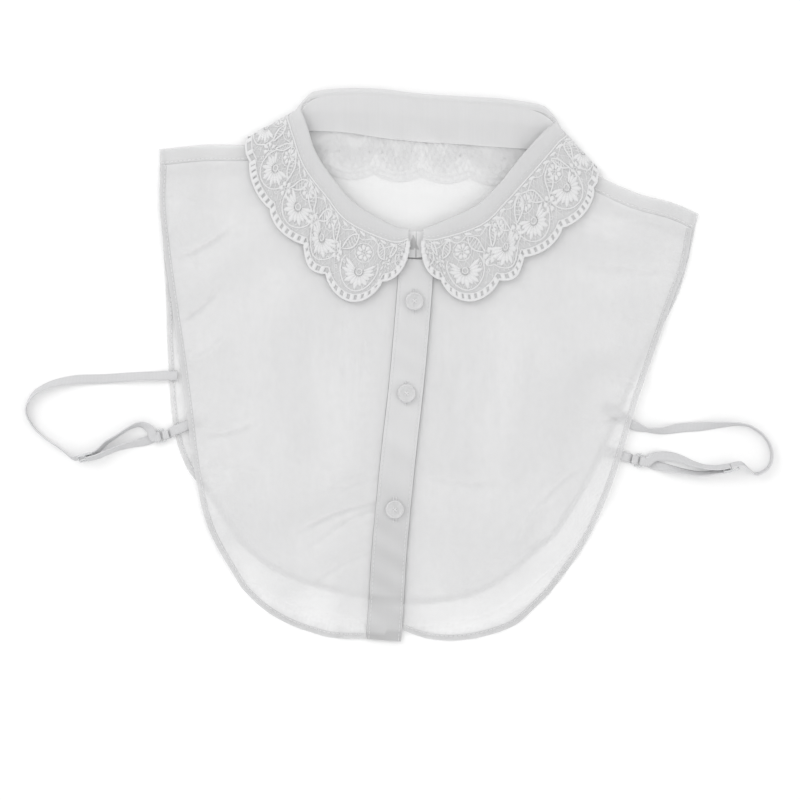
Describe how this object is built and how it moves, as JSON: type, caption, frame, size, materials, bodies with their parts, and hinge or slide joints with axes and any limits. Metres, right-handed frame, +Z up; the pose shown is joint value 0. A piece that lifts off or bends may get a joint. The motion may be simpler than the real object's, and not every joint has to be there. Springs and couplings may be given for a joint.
{
  "type": "false collar",
  "caption": "Sheer white false collar laid flat: buttoned front, round lace-edged collar, elastic side straps with sliders.",
  "frame": {"origin": "on the surface that it lies on, below the middle of its outline seen from above", "axes": "+X to the right of the laid-out garment as seen, +Y towards the neck, +Z up off the surface"},
  "size_m": [0.4853, 0.3589, 0.0108],
  "materials": {
    "sheer_fabric": "sheer plain-weave chiffon, matte, layers show through",
    "collar_fabric": "doubled sheer cloth, matte",
    "lace": "raised cotton lace on net, matte",
    "elastic": "woven elastic, slight sheen",
    "clear_plastic": "clear moulded plastic, glossy",
    "button": "pearly shirt button, glossy"
  },
  "bodies": {
    "root": {"back_panel": "sheer_fabric", "front_panel_left": "sheer_fabric", "front_panel_right": "sheer_fabric", "button_stand": "sheer_fabric", "placket": "sheer_fabric", "button_top": "button", "button_middle": "button", "button_bottom": "button", "collar_stand_left": "collar_fabric", "collar_stand_right": "collar_fabric", "collar_cloth_left": "collar_fabric", "collar_cloth_right": "collar_fabric", "collar_lace_left": "lace", "collar_lace_right": "lace", "strap_left": "elastic", "strap_right": "elastic", "strap_loop_left": "elastic", "strap_loop_right": "elastic", "tab_left": "elastic", "tab_right": "elastic", "ring_left": "clear_plastic", "ring_right": "clear_plastic", "slider_left": "clear_plastic", "slider_right": "clear_plastic"}
  },
  "joints": []
}
